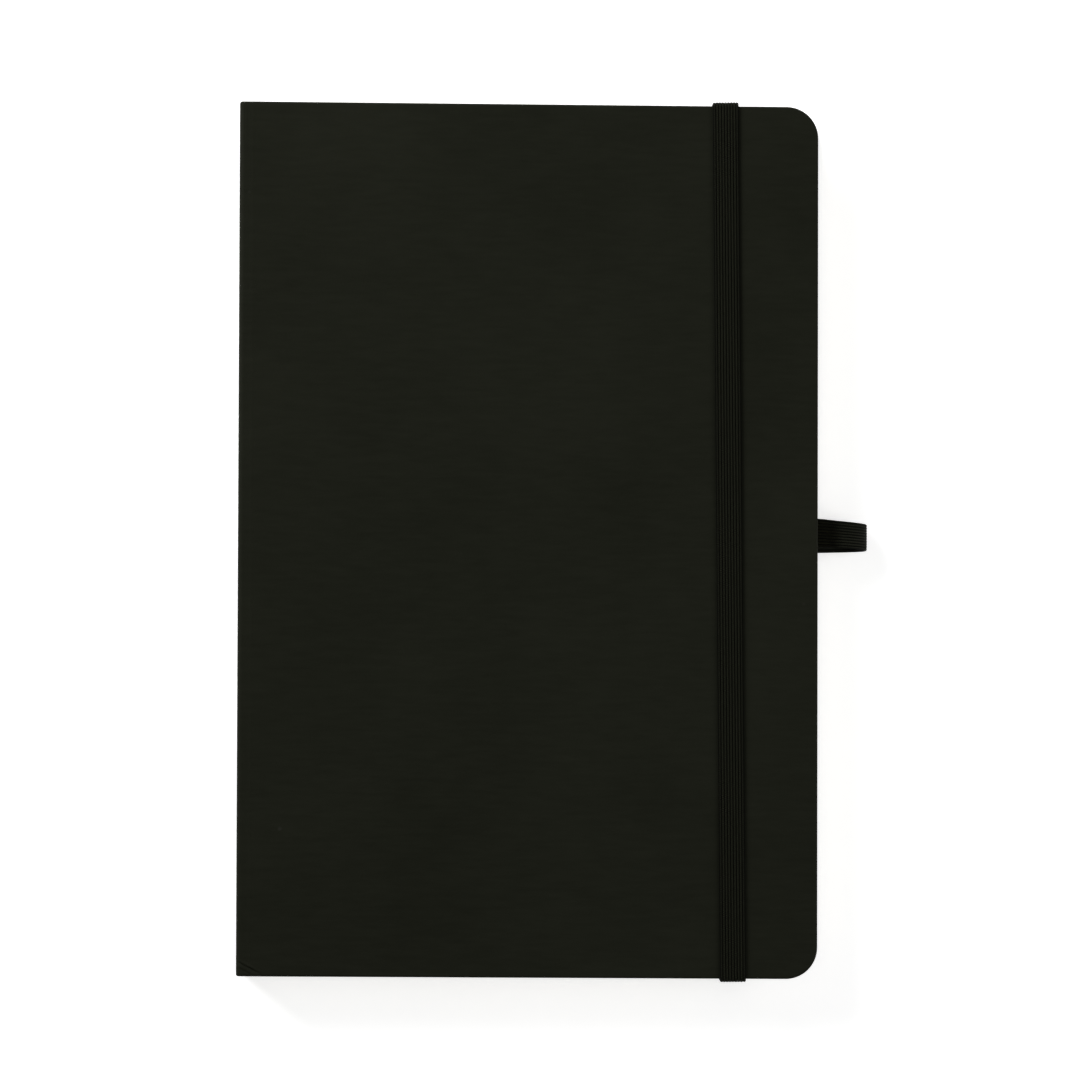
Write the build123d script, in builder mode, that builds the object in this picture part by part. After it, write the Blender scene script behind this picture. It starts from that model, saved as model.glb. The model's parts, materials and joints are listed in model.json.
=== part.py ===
from build123d import *
import os
from math import atan2, degrees, hypot

# Hard-cover notebook, closed and lying on its back cover.
# Origin at the centre of the back cover's outer face, +X from the spine to the fore-edge,
# +Y from the tail to the head, +Z out of the front cover. Millimetres.

# Covers
cover_width = 140.0
cover_height = 210.0
cover_corner = 7.6
board_thickness = 1.8
skin_thickness = 0.5
turn_in_width = 14.0
turn_in_thickness = 0.3
joint_width = 3.0
edge_round = 0.45

# Paper
fore_edge_square = 3.5
head_square = 3.0
leaf_corner = 6.5
leaf_thickness = 0.11
leaves_per_section = 8
section_count = 12
section_gap = 0.01
pastedown_thickness = 0.15
flyleaf_thickness = 0.12
paper_clearance = 0.05
flyleaf_clearance = 0.03

# Spine
strip_thickness = 1.2
strip_recess = 1.3
liner_thickness = 0.15
mull_thickness = 0.15
mull_inset = 12.0
spine_gap = 1.0
spine_clearance = 0.05
thread_thickness = 0.2
thread_width = 0.8
thread_stations = 5
thread_spacing = 42.0

# Elastic closure band
band_width = 6.2
band_thickness = 0.8
band_clearance = 0.05
band_head_inset = 22.6
band_tail_inset = 20.1
band_end_length = 14.0
slot_clearance = 0.1

# Pen loop
loop_tape_width = 7.8
loop_tape_thickness = 0.9
loop_bore_radius = 4.4
loop_reach = 12.2
loop_height_above_middle = 1.2
loop_floor_clearance = 0.2
loop_tab_length = 14.0
loop_pivot_offset = 0.55

# Places worked out from the sizes above
half_width = cover_width / 2
half_height = cover_height / 2
spine_face = -half_width
board_left = spine_face + joint_width
board_right = half_width - skin_thickness
board_half_height = half_height - skin_thickness
board_corner = cover_corner - skin_thickness
cover_thickness = board_thickness + skin_thickness

section_thickness = leaves_per_section * leaf_thickness
section_pitch = section_thickness + section_gap
block_thickness = section_count * section_pitch - section_gap
back_pastedown_z = cover_thickness
back_flyleaf_z = back_pastedown_z + pastedown_thickness + paper_clearance
block_bottom = back_flyleaf_z + flyleaf_thickness + flyleaf_clearance
block_top = block_bottom + block_thickness
front_flyleaf_z = block_top + flyleaf_clearance
front_pastedown_z = front_flyleaf_z + flyleaf_thickness + paper_clearance
front_inner_z = front_pastedown_z + pastedown_thickness
total_thickness = front_inner_z + cover_thickness

strip_left = spine_face + skin_thickness
strip_right = strip_left + strip_thickness
liner_left = strip_right + spine_gap
mull_left = liner_left + liner_thickness
thread_left = mull_left + mull_thickness
block_left = thread_left + thread_thickness + spine_clearance
block_right = half_width - fore_edge_square
block_half_height = half_height - head_square
pastedown_left = board_left + joint_width / 6

strip_bottom = strip_recess
strip_height = total_thickness - 2 * strip_recess

band_head_x = half_width - band_head_inset
band_tail_x = half_width - band_tail_inset
band_slant = degrees(atan2(band_tail_x - band_head_x, cover_height))
band_centre_x = (band_head_x + band_tail_x) / 2
band_top = total_thickness + band_clearance
band_slot_depth = band_thickness + slot_clearance / 2
band_slot_z = cover_thickness - band_slot_depth
band_corner = edge_round + band_clearance

loop_outer_radius = loop_bore_radius + loop_tape_thickness
loop_centre_x = half_width + loop_reach - loop_outer_radius
loop_centre_z = loop_outer_radius + loop_floor_clearance
tab_slot_depth = loop_tape_thickness + slot_clearance / 2
tab_slot_z = cover_thickness - tab_slot_depth
loop_pivot_x = half_width + loop_pivot_offset
loop_pivot_z = tab_slot_z + loop_tape_thickness / 2


def sheet_outline(left, right, half_length, corner):
    # A rectangle from the spine side to the fore-edge, its two fore-edge corners rounded
    with BuildSketch() as outline:
        with Locations(((left + right) / 2, 0)):
            Rectangle(right - left, 2 * half_length)
        fillet(outline.vertices().group_by(Axis.X)[-1], corner)
    return outline.sketch


def slab(left, right, half_length, corner, bottom, thickness):
    # A flat sheet with the outline above, standing on the height given by bottom
    with BuildPart() as sheet:
        with BuildSketch(Plane.XY.offset(bottom)):
            add(sheet_outline(left, right, half_length, corner))
        extrude(amount=thickness)
    return sheet.part


def cover_board(bottom, inner_face, turn_in_z):
    # A board with a shallow rebate round three edges of its inner face for the turned-in skin
    with BuildPart() as board:
        add(slab(board_left, board_right, board_half_height, board_corner, bottom, board_thickness))
        with BuildSketch(Plane.XY.offset(turn_in_z)):
            add(sheet_outline(board_left, board_right, board_half_height, board_corner))
            with Locations(((board_left + board_right - turn_in_width) / 2, 0)):
                Rectangle(
                    board_right - board_left - turn_in_width,
                    2 * (board_half_height - turn_in_width),
                    mode=Mode.SUBTRACT,
                )
        extrude(amount=inner_face - turn_in_z, mode=Mode.SUBTRACT)
    return board.part


def cover_block(bottom, outer_side):
    # The outside of a covered board, its outer face rounded along the head, fore-edge and tail
    with BuildPart() as block:
        add(slab(board_left, half_width, half_height, cover_corner, bottom, cover_thickness))
        outer_face = block.faces().sort_by(Axis.Z)[outer_side]
        fillet(outer_face.edges().sort_by(Axis.X)[1:], edge_round)
    return block.part


band_plane = Plane(origin=(band_centre_x, 0, 0), x_dir=Vector(1, 0, 0).rotate(Axis.Z, band_slant))


def band_slot(side, top):
    # The space for one end of the elastic in the inner face, open at the head or tail edge
    with BuildPart() as slot:
        with BuildSketch(band_plane.offset(band_slot_z)):
            with Locations((0, side * (half_height - band_end_length / 2 + slot_clearance))):
                Rectangle(band_width + slot_clearance, band_end_length + 2 * slot_clearance)
        extrude(amount=top - band_slot_z)
    return slot.part


def tab_slot(top):
    # The space for the pen loop's glued end in the inner face, open at the fore-edge
    with BuildPart() as slot:
        with BuildSketch(Plane.XY.offset(tab_slot_z)):
            with Locations((half_width - loop_tab_length / 2 + slot_clearance, loop_height_above_middle)):
                Rectangle(loop_tab_length + 2 * slot_clearance, loop_tape_width + slot_clearance)
        extrude(amount=top - tab_slot_z)
    return slot.part


def write_part(solid, name):
    solid.label = name
    export_step(solid, f"parts/{name}.step")


os.makedirs("parts", exist_ok=True)

# Front cover: board, skin wrapped over its edges, and the paper pasted inside
with BuildPart() as front_board:
    add(cover_board(front_inner_z, front_inner_z, front_inner_z + turn_in_thickness))
write_part(front_board.part, "front_board")

with BuildPart() as front_skin:
    add(cover_block(front_inner_z, -1))
    add(front_board.part, mode=Mode.SUBTRACT)
write_part(front_skin.part, "front_skin")

with BuildPart() as front_pastedown:
    add(
        slab(
            pastedown_left, block_right, block_half_height, leaf_corner,
            front_pastedown_z, pastedown_thickness,
        )
    )
write_part(front_pastedown.part, "front_pastedown")

# Back cover: the same three pieces, with room for the elastic's ends and the pen loop's end
with BuildPart() as back_board:
    add(cover_board(skin_thickness, cover_thickness, cover_thickness - turn_in_thickness))
    add(band_slot(1, cover_thickness), mode=Mode.SUBTRACT)
    add(band_slot(-1, cover_thickness), mode=Mode.SUBTRACT)
    add(tab_slot(cover_thickness), mode=Mode.SUBTRACT)
write_part(back_board.part, "back_board")

with BuildPart() as back_skin:
    add(cover_block(0, 0))
    add(
        cover_board(skin_thickness, cover_thickness, cover_thickness - turn_in_thickness),
        mode=Mode.SUBTRACT,
    )
    add(band_slot(1, cover_thickness), mode=Mode.SUBTRACT)
    add(band_slot(-1, cover_thickness), mode=Mode.SUBTRACT)
    add(tab_slot(cover_thickness), mode=Mode.SUBTRACT)
write_part(back_skin.part, "back_skin")

with BuildPart() as back_pastedown:
    add(
        slab(
            pastedown_left, block_right, block_half_height, leaf_corner,
            back_pastedown_z, pastedown_thickness,
        )
    )
write_part(back_pastedown.part, "back_pastedown")

# Spine: stiff strip, the skin over it, and the two flexible corners of skin at the joints
with BuildPart() as spine_strip:
    with BuildSketch(Plane.XY.offset(strip_bottom)):
        with Locations(((strip_left + strip_right) / 2, 0)):
            Rectangle(strip_thickness, 2 * board_half_height)
    extrude(amount=strip_height)
write_part(spine_strip.part, "spine_strip")

with BuildPart() as spine_skin:
    with BuildSketch(Plane.XY.offset(strip_bottom)):
        with Locations((spine_face + skin_thickness / 2, 0)):
            Rectangle(skin_thickness, cover_height)
    extrude(amount=strip_height)
write_part(spine_skin.part, "spine_skin")

for joint_name, outer_z, inner_z, strip_z in (
    ("front_joint_skin", total_thickness, total_thickness - skin_thickness, strip_bottom + strip_height),
    ("back_joint_skin", 0, skin_thickness, strip_bottom),
):
    with BuildPart() as joint_skin:
        with BuildSketch(Plane.XZ.offset(-half_height)):
            with BuildLine():
                Polyline(
                    (spine_face, strip_z),
                    (spine_face, outer_z),
                    (board_left, outer_z),
                    (board_left, inner_z),
                    (spine_face + skin_thickness, inner_z),
                    (spine_face + skin_thickness, strip_z),
                    close=True,
                )
            make_face()
        extrude(amount=cover_height)
    write_part(joint_skin.part, joint_name)

# Back of the paper block: sewing thread, open-weave mull and the kraft liner over it
with BuildPart() as sewing_thread:
    with BuildSketch(Plane.XY.offset(block_bottom)):
        with Locations((thread_left + thread_thickness / 2, 0)):
            with GridLocations(thread_spacing, thread_spacing, 1, thread_stations):
                Rectangle(thread_thickness, thread_width)
    extrude(amount=block_thickness)
write_part(sewing_thread.part, "sewing_thread")

for backing_name, backing_left, backing_thickness in (
    ("mull", mull_left, mull_thickness),
    ("spine_liner", liner_left, liner_thickness),
):
    with BuildPart() as backing:
        with BuildSketch(Plane.XY.offset(block_bottom)):
            with Locations((backing_left + backing_thickness / 2, 0)):
                Rectangle(backing_thickness, 2 * (half_height - mull_inset))
        extrude(amount=block_thickness)
    write_part(backing.part, backing_name)

# Paper block: sewn sections from the front to the back, and a flyleaf at each side
for section_number in range(1, section_count + 1):
    section_bottom = block_top - section_number * section_pitch + section_gap
    with BuildPart() as section:
        add(
            slab(
                block_left, block_right, block_half_height, leaf_corner,
                section_bottom, section_thickness,
            )
        )
    write_part(section.part, f"section_{section_number:02d}")

for flyleaf_name, flyleaf_bottom in (
    ("front_flyleaf", front_flyleaf_z),
    ("back_flyleaf", back_flyleaf_z),
):
    with BuildPart() as flyleaf:
        add(
            slab(
                block_left, block_right, block_half_height, leaf_corner,
                flyleaf_bottom, flyleaf_thickness,
            )
        )
    write_part(flyleaf.part, flyleaf_name)

# Elastic closure band: a flat ring open at the bottom, and its two ends laid in their slots
with BuildPart() as closure_band:
    band_side = Plane(
        origin=band_plane.origin - band_plane.x_dir * (band_width / 2),
        x_dir=band_plane.y_dir,
        z_dir=band_plane.x_dir,
    )
    leg_inner = half_height + band_clearance
    with BuildSketch(band_side):
        with BuildLine():
            inner_path = FilletPolyline(
                (-leg_inner, band_slot_z),
                (-leg_inner, band_top),
                (leg_inner, band_top),
                (leg_inner, band_slot_z),
                radius=band_corner,
            )
            outer_path = FilletPolyline(
                (-leg_inner - band_thickness, band_slot_z),
                (-leg_inner - band_thickness, band_top + band_thickness),
                (leg_inner + band_thickness, band_top + band_thickness),
                (leg_inner + band_thickness, band_slot_z),
                radius=band_corner + band_thickness,
            )
            Line(inner_path @ 0, outer_path @ 0)
            Line(inner_path @ 1, outer_path @ 1)
        make_face()
    extrude(amount=band_width)
write_part(closure_band.part, "closure_band")

for end_name, side in (("band_end_head", 1), ("band_end_tail", -1)):
    with BuildPart() as band_end:
        with BuildSketch(band_plane.offset(band_slot_z + slot_clearance / 4)):
            with Locations((0, side * (half_height - band_end_length / 2))):
                Rectangle(band_width, band_end_length)
        extrude(amount=band_thickness)
    write_part(band_end.part, end_name)

# Pen loop: the round loop on its short stem, and the end glued inside the back cover
stem_run = loop_centre_x - loop_pivot_x
stem_rise = loop_centre_z - loop_pivot_z
stem_length = hypot(stem_run, stem_rise) - loop_bore_radius - loop_tape_thickness / 2
loop_plane = Plane.XZ.offset(-loop_height_above_middle - loop_tape_width / 2)
with BuildPart() as pen_loop:
    with BuildSketch(loop_plane):
        with Locations((loop_centre_x, loop_centre_z)):
            Circle(loop_outer_radius)
        with Locations(Location((loop_pivot_x, loop_pivot_z), degrees(atan2(stem_rise, stem_run)))):
            Circle(loop_tape_thickness / 2)
            Rectangle(stem_length, loop_tape_thickness, align=(Align.MIN, Align.CENTER))
        with Locations((loop_centre_x, loop_centre_z)):
            Circle(loop_bore_radius, mode=Mode.SUBTRACT)
    extrude(amount=loop_tape_width)
write_part(pen_loop.part, "pen_loop")

with BuildPart() as pen_loop_tab:
    with BuildSketch(Plane.XY.offset(tab_slot_z + slot_clearance / 4)):
        with Locations((half_width - loop_tab_length / 2, loop_height_above_middle)):
            Rectangle(loop_tab_length, loop_tape_width)
    extrude(amount=loop_tape_thickness)
write_part(pen_loop_tab.part, "pen_loop_tab")
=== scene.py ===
import json
import math

import bpy
import numpy as np
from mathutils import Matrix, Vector


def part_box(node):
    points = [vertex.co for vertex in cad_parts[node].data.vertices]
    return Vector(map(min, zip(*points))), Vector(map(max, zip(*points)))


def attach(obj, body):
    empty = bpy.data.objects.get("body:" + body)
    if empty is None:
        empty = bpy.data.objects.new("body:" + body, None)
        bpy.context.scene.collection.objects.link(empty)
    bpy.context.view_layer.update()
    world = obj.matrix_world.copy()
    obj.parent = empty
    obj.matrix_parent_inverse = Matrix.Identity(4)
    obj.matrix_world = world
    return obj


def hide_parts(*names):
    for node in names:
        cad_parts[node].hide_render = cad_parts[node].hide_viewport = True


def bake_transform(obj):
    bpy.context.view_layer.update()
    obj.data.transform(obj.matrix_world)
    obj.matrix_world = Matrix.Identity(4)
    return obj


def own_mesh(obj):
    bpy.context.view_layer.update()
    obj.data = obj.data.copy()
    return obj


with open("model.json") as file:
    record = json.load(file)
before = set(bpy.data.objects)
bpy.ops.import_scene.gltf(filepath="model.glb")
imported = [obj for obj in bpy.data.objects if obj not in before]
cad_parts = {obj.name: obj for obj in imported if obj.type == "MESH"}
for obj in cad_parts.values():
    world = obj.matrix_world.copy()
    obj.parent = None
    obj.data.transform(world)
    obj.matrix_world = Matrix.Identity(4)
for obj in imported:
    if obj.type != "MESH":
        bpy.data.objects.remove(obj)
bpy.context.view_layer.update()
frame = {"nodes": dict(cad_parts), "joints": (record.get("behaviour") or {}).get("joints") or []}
print("frame loaded:", len(frame["nodes"]), "nodes")

metresPerMm = 0.001
layName = "layPlace"
chance = np.random.default_rng(11)


def boxMm(node):
    # lowest and highest corners of a CAD node, in millimetres
    low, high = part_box(node)
    return np.array(low) / metresPerMm, np.array(high) / metresPerMm


def ease(t):
    # from 0 to 1 with level ends: t squared times (3 minus 2 t), t held between 0 and 1
    t = np.clip(t, 0, 1)
    return t * t * (3 - 2 * t)


def bump(distance, width):
    # a smooth bump: e to the minus (distance over width) squared
    return np.exp(-(distance / width) ** 2)


def gridQuads(rows, columns):
    # the quads of a grid whose point (i, j) is number i times columns plus j
    i, j = np.meshgrid(np.arange(rows - 1), np.arange(columns - 1), indexing="ij")
    first = (i * columns + j).ravel()
    return np.stack([first, first + columns, first + columns + 1, first + 1], axis=1)


def closeShell(outer, inner, quads):
    # the outer surface, the inner one turned round, and a rim along every edge that has only one face
    count = len(outer)
    starts = quads.ravel()
    ends = np.roll(quads, -1, axis=1).ravel()
    single = ~np.isin(starts * count + ends, ends * count + starts)
    a, b = starts[single], ends[single]
    rim = np.stack([b, a, a + count, b + count], axis=1)
    points = np.vstack([outer, inner])
    faces = np.vstack([quads, quads[:, ::-1] + count, rim])
    return points, facingOut(points, faces)


def facingOut(points, quads):
    # turns all faces round if the volume that they enclose comes out negative
    a, b, c, d = (points[quads[:, k]] for k in range(4))
    volume = np.sum(a * np.cross(b, c)) + np.sum(a * np.cross(c, d))
    return quads if volume > 0 else quads[:, ::-1]


def joinShells(shells):
    # several (points, quads, lay) shells as one
    points, faces, lays, count = [], [], [], 0
    for shellPoints, shellQuads, shellLay in shells:
        points.append(shellPoints)
        faces.append(shellQuads + count)
        lays.append(shellLay)
        count += len(shellPoints)
    return np.vstack(points), np.vstack(faces), np.vstack(lays)


def makePiece(name, points, quads, lay, material, creaseAngle=38):
    # a mesh object from arrays; lay keeps where each point of the material lies, so patterns don't slide
    mesh = bpy.data.meshes.new(name)
    mesh.vertices.add(len(points))
    mesh.vertices.foreach_set("co", (points * metresPerMm).astype(np.float32).ravel())
    mesh.loops.add(quads.size)
    mesh.loops.foreach_set("vertex_index", quads.astype(np.int32).ravel())
    mesh.polygons.add(len(quads))
    mesh.polygons.foreach_set("loop_start", np.arange(0, quads.size, 4, dtype=np.int32))
    mesh.update(calc_edges=True)
    mesh.validate()
    layMap = mesh.attributes.new(layName, "FLOAT_VECTOR", "POINT")
    layMap.data.foreach_set("vector", (lay * metresPerMm).astype(np.float32).ravel())
    mesh.shade_smooth()
    mesh.set_sharp_from_angle(angle=math.radians(creaseAngle))
    mesh.materials.append(material)
    piece = bpy.data.objects.new(name, mesh)
    bpy.context.scene.collection.objects.link(piece)
    return piece


def roundedPath(corners, radii, longStep):
    # straight runs joined by arcs: an arc leaves each run at radius times tan(half the turn) from the corner
    corners = np.array(corners, float)
    stretches = []
    lastEnd = corners[0]
    for k in range(1, len(corners) - 1):
        before = corners[k] - corners[k - 1]
        after = corners[k + 1] - corners[k]
        before /= np.linalg.norm(before)
        after /= np.linalg.norm(after)
        turn = math.atan2(before[0] * after[1] - before[1] * after[0], before @ after)
        cut = radii[k - 1] * math.tan(abs(turn) / 2)
        start = corners[k] - before * cut
        side = np.array([-before[1], before[0]]) * math.copysign(1, turn)
        centre = start + side * radii[k - 1]
        steps = max(3, int(abs(turn) / math.radians(9)))
        angles = np.linspace(0, abs(turn), steps + 1)[:, None]
        arc = centre - side * radii[k - 1] * np.cos(angles) + before * radii[k - 1] * np.sin(angles)
        stretches.append(straightRun(lastEnd, start, longStep))
        stretches.append(arc[:-1])
        lastEnd = arc[-1]
    stretches.append(straightRun(lastEnd, corners[-1], longStep))
    stretches.append(corners[-1:])
    path = np.vstack(stretches)
    apart = np.linalg.norm(np.diff(path, axis=0), axis=1) > 1e-6
    return path[np.concatenate([[True], apart])]


def straightRun(start, end, longStep):
    # evenly spaced points from start up to, but not at, end
    pieces = max(1, int(np.linalg.norm(end - start) / longStep))
    return start + (end - start) * (np.arange(pieces) / pieces)[:, None]


def pathFrames(path):
    # distance along a flat path and the unit normals to its left
    steps = np.diff(path, axis=0)
    lengths = np.linalg.norm(steps, axis=1)
    along = np.concatenate([[0], np.cumsum(lengths)])
    tangents = np.gradient(path, along, axis=0)
    tangents /= np.linalg.norm(tangents, axis=1)[:, None]
    return along, np.stack([-tangents[:, 1], tangents[:, 0]], axis=1)


def newMaterial(name, look, colour=None):
    # a principled material with its fixed values on the shader's own sockets
    material = bpy.data.materials.new(name)
    material.use_nodes = True
    shader = material.node_tree.nodes["Principled BSDF"]
    shader.inputs["Base Color"].default_value = (*(colour or look["colour"]), 1)
    shader.inputs["Roughness"].default_value = look["roughness"]
    shader.inputs["Specular IOR Level"].default_value = look["specular"]
    return material, material.node_tree, shader


def addNode(tree, kind, inputs=None, **settings):
    # one node; inputs are values or sockets of other nodes, by socket name or number
    made = tree.nodes.new(kind)
    for key, value in settings.items():
        setattr(made, key, value)
    for key, value in (inputs or {}).items():
        if isinstance(value, bpy.types.NodeSocket):
            tree.links.new(value, made.inputs[key])
        else:
            made.inputs[key].default_value = value
    return made


def layPlaces(tree):
    # where each point of the piece lay when it was flat or at rest
    return addNode(tree, "ShaderNodeAttribute", attribute_name=layName).outputs["Vector"]


def objectPlaces(tree):
    return addNode(tree, "ShaderNodeTexCoord").outputs["Object"]


def noise(tree, places, scale, detail=3.0, roughness=0.55, stretch=(1, 1, 1)):
    mapped = addNode(tree, "ShaderNodeMapping", {"Vector": places, "Scale": stretch}).outputs["Vector"]
    made = addNode(tree, "ShaderNodeTexNoise", {"Vector": mapped, "Scale": scale, "Detail": detail,
                                                "Roughness": roughness})
    return made.outputs["Fac"]


def mathNode(tree, operation, first, second=0.0, third=0.0):
    made = addNode(tree, "ShaderNodeMath", {0: first, 1: second, 2: third}, operation=operation)
    return made.outputs["Value"]


def ripples(tree, along, turns):
    # the absolute value of the sine of a value times a number of radians
    return mathNode(tree, "ABSOLUTE", mathNode(tree, "SINE", mathNode(tree, "MULTIPLY", along, turns)))


def remap(tree, value, fromLow, fromHigh, toLow, toHigh):
    made = addNode(tree, "ShaderNodeMapRange", {"Value": value, "From Min": fromLow, "From Max": fromHigh,
                                                "To Min": toLow, "To Max": toHigh})
    return made.outputs["Result"]


def mixColours(tree, factor, first, second):
    # sockets 0, 6 and 7 of this node are the factor and the two colours
    made = addNode(tree, "ShaderNodeMix", data_type="RGBA")
    for key, value in ((0, factor), (6, first), (7, second)):
        if isinstance(value, bpy.types.NodeSocket):
            tree.links.new(value, made.inputs[key])
        else:
            made.inputs[key].default_value = value if key == 0 else (*value, 1)
    return made.outputs[2]


def bumpFrom(tree, height, distance, strength=1.0, under=None):
    inputs = {"Height": height, "Distance": distance, "Strength": strength}
    if under is not None:
        inputs["Normal"] = under
    return addNode(tree, "ShaderNodeBump", inputs).outputs["Normal"]


leathercloth = {
    "colour": (0.0088, 0.0096, 0.0057),
    "lighter": (0.0134, 0.0144, 0.0092),
    "rubbed": (0.024, 0.024, 0.020),
    "roughness": 0.62,
    "specular": 0.05,
    "cloudsPerMetre": 26,
    "grainPerMetre": 1500,
    "pebblesPerMetre": 1150.0,
    "fibresPerMetre": 420,
    "fibreStretch": (0.35, 2.2, 1),
    "specksPerMetre": 34.0,
    "speckSize": (0.010, 0.022),
    "speckStrength": 0.5,
    "grainDepth": 0.00005,
}


def leatherclothMaterial():
    # fine pebble grain over soft cloudy shading, a few short level fibres, and rare rubbed specks
    look = leathercloth
    material, tree, shader = newMaterial("blackLeathercloth", look)
    places = layPlaces(tree)
    clouds = noise(tree, places, look["cloudsPerMetre"], 4)
    grain = noise(tree, places, look["grainPerMetre"], 2)
    fibres = noise(tree, places, look["fibresPerMetre"], 3, 0.6, look["fibreStretch"])
    cells = addNode(tree, "ShaderNodeTexVoronoi", {"Vector": places, "Scale": look["specksPerMetre"]})
    specks = remap(tree, cells.outputs["Distance"], *look["speckSize"], look["speckStrength"], 0)
    cloudShade = remap(tree, clouds, 0.3, 0.7, 0, 0.55)
    fibreShade = remap(tree, fibres, 0.3, 0.7, 0, 0.45)
    base = mixColours(tree, mathNode(tree, "ADD", cloudShade, fibreShade), look["colour"], look["lighter"])
    base = mixColours(tree, specks, base, look["rubbed"])
    tree.links.new(base, shader.inputs["Base Color"])
    rough = remap(tree, grain, 0.25, 0.75, look["roughness"] - 0.07, look["roughness"] + 0.08)
    tree.links.new(rough, shader.inputs["Roughness"])
    pebbles = addNode(tree, "ShaderNodeTexVoronoi", {"Vector": places, "Scale": look["pebblesPerMetre"]},
                      feature="SMOOTH_F1")
    height = mathNode(tree, "MULTIPLY_ADD", pebbles.outputs["Distance"], 0.6, grain)
    fine = bumpFrom(tree, height, look["grainDepth"], 0.45)
    tree.links.new(bumpFrom(tree, fibres, look["grainDepth"] * 2, 0.25, fine), shader.inputs["Normal"])
    return material


elastic = {
    # painted shade: the near-black colour put into the grooves between the ribs
    "grooveShade": (0.0003, 0.0003, 0.0002),
    "roughness": 0.75,
    "specular": 0.05,
    "stitch": 0.00052,
    "stitchTone": 0.12,
    "stitchDepth": 0.00007,
    "yarnsPerMetre": 2600,
    "yarnTone": 0.2,
    # painted contact shadow: the tape's colour darkens over this width along both selvedges
    "selvedge": 0.0006,
    "selvedgeShadowTone": 0.25,
}


def elasticMaterial(name, tape):
    # painted shade: the colour darkens towards the grooves between the lengthwise ribs, and a painted contact
    # shadow darkens the tape towards its selvedges; cross stitches are a sine along the tape, half a step out
    # from one rib to the next
    look = elastic
    pitch = tape["width"] / tape["ribs"]
    halfWidth = tape["width"] / 2 * metresPerMm
    material, tree, shader = newMaterial(name, look, tape["ridge"])
    places = layPlaces(tree)
    parts = addNode(tree, "ShaderNodeSeparateXYZ", {"Vector": places})
    ribs = mathNode(tree, "DIVIDE", parts.outputs["X"], pitch * metresPerMm)
    ridge = ripples(tree, ribs, math.pi)
    odd = mathNode(tree, "PINGPONG", mathNode(tree, "FLOOR", ribs), 1.0)
    turns = mathNode(tree, "MULTIPLY", parts.outputs["Y"], 2 * math.pi / look["stitch"])
    stitches = mathNode(tree, "SINE", mathNode(tree, "MULTIPLY_ADD", odd, math.pi, turns))
    yarn = noise(tree, places, look["yarnsPerMetre"], 2, 0.6, (1, 0.4, 1))
    # painted groove shade: the colour falls from the rib tops towards near black in the grooves
    grooveShading = remap(tree, ridge, 0.35, 0.95, 0, 0.9)
    tone = mathNode(tree, "MULTIPLY_ADD", stitches, look["stitchTone"], grooveShading)
    tone = mathNode(tree, "MULTIPLY_ADD", yarn, look["yarnTone"], tone)
    fromMiddle = mathNode(tree, "ABSOLUTE", mathNode(tree, "SUBTRACT", parts.outputs["X"], halfWidth))
    # painted contact shadow: darker colour within the selvedge width of both edges
    edge = remap(tree, fromMiddle, halfWidth - look["selvedge"], halfWidth, 1, look["selvedgeShadowTone"])
    tone = mathNode(tree, "MULTIPLY", tone, edge)
    tree.links.new(mixColours(tree, tone, look["grooveShade"], tape["ridge"]), shader.inputs["Base Color"])
    height = mathNode(tree, "MULTIPLY_ADD", yarn, 0.5, mathNode(tree, "MULTIPLY", stitches, ridge))
    tree.links.new(bumpFrom(tree, height, look["stitchDepth"], 0.7), shader.inputs["Normal"])
    return material


paperLook = {
    "roughness": 0.86,
    "specular": 0.22,
    "page": (0.82, 0.78, 0.67),
    "endpaper": (0.80, 0.76, 0.64),
    "shadeOf": (0.93, 0.915, 0.87),
    "cloudsPerMetre": 160,
    "fibresPerMetre": 1400,
    "depth": 0.00004,
}
rule = {
    "pitch": 0.007,
    "lineShare": (0.011, 0.020),
    "ink": (0.30, 0.33, 0.36),
    "strength": 0.55,
    "rightEnd": 0.0615,
    "topEnd": 0.0905,
}


def paperMaterial(name, colour, ruled):
    # uncoated paper: cloudy formation and fine fibres; ruled paper adds thin level lines inside a margin
    look = paperLook
    material, tree, shader = newMaterial(name, look, colour)
    places = layPlaces(tree)
    clouds = noise(tree, places, look["cloudsPerMetre"], 4, 0.6)
    fibres = noise(tree, places, look["fibresPerMetre"], 3, 0.65, (1, 0.5, 1))
    darker = tuple(c * f for c, f in zip(colour, look["shadeOf"]))
    shade = mathNode(tree, "MULTIPLY_ADD", fibres, 0.35, remap(tree, clouds, 0.3, 0.7, 0, 0.6))
    base = mixColours(tree, shade, colour, darker)
    if ruled:
        parts = addNode(tree, "ShaderNodeSeparateXYZ", {"Vector": places})
        step = mathNode(tree, "DIVIDE", parts.outputs["Y"], rule["pitch"])
        fromLine = mathNode(tree, "ABSOLUTE", mathNode(tree, "SUBTRACT", mathNode(tree, "FRACT", step), 0.5))
        line = remap(tree, fromLine, *rule["lineShare"], rule["strength"], 0)
        insideX = mathNode(tree, "LESS_THAN", parts.outputs["X"], rule["rightEnd"])
        insideY = mathNode(tree, "LESS_THAN", mathNode(tree, "ABSOLUTE", parts.outputs["Y"]), rule["topEnd"])
        ink = mathNode(tree, "MULTIPLY", line, mathNode(tree, "MULTIPLY", insideX, insideY))
        base = mixColours(tree, ink, base, rule["ink"])
    tree.links.new(base, shader.inputs["Base Color"])
    tree.links.new(bumpFrom(tree, fibres, look["depth"], 0.3), shader.inputs["Normal"])
    return material


greyBoard = {
    "roughness": 0.9,
    "specular": 0.2,
    "colour": (0.32, 0.28, 0.22),
    "light": (0.36, 0.32, 0.25),
    "dark": (0.27, 0.235, 0.185),
    "fleck": (0.13, 0.11, 0.09),
    "pulpPerMetre": 350,
    "flecksPerMetre": 2100,
    "depth": 0.00015,
}


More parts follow.
